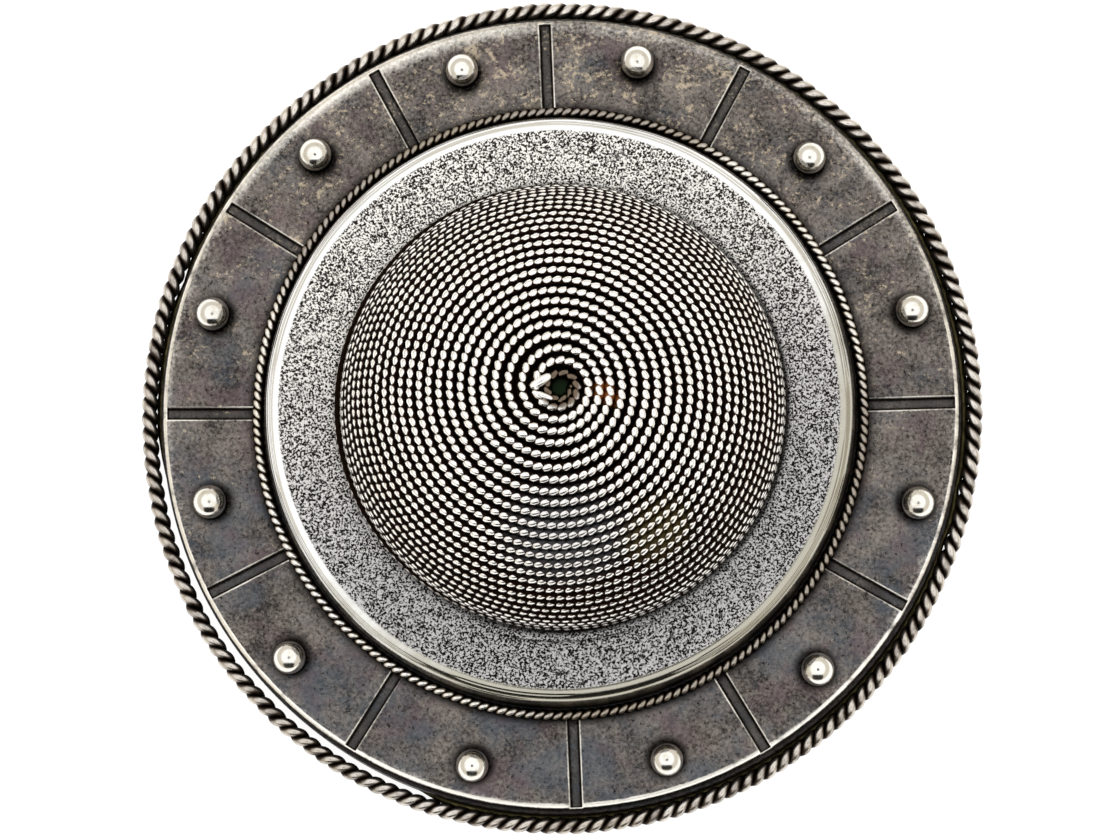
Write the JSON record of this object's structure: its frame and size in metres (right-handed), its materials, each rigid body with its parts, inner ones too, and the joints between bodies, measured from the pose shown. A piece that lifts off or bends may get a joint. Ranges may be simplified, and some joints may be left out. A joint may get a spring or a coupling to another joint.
{
  "type": "target brooch",
  "caption": "Round silver brooch with a coiled twisted-wire dome on a drum, a slotted outer ring with ball studs, rope borders and a plain pin behind.",
  "frame": {"origin": "on the surface the brooch lies on, under the middle of the rope round its rim", "axes": "+Z out of the face, +Y towards the top of the brooch as worn, +X to the right as seen from the front"},
  "size_m": [0.0502, 0.05, 0.0184],
  "materials": {
    "oxidised_silver": "oxidised satin silver, worn bright along its edges",
    "grained_silver": "grained silver with a worn, polished margin",
    "twisted_silver": "twisted silver wire with dark oxide in its grooves",
    "polished_silver": "polished silver"
  },
  "bodies": {
    "root": {"slotted_ring": "oxidised_silver", "boss_drum": "grained_silver", "coiled_dome": "twisted_silver", "inner_rope": "twisted_silver", "outer_rope_strand_a": "twisted_silver", "outer_rope_strand_b": "twisted_silver", "stud_01": "polished_silver", "stud_02": "polished_silver", "stud_03": "polished_silver", "stud_04": "polished_silver", "stud_05": "polished_silver", "stud_06": "polished_silver", "stud_07": "polished_silver", "stud_08": "polished_silver", "stud_09": "polished_silver", "stud_10": "polished_silver", "stud_11": "polished_silver", "stud_12": "polished_silver", "back_plate": "polished_silver", "pin_fitting": "polished_silver"}
  },
  "joints": []
}
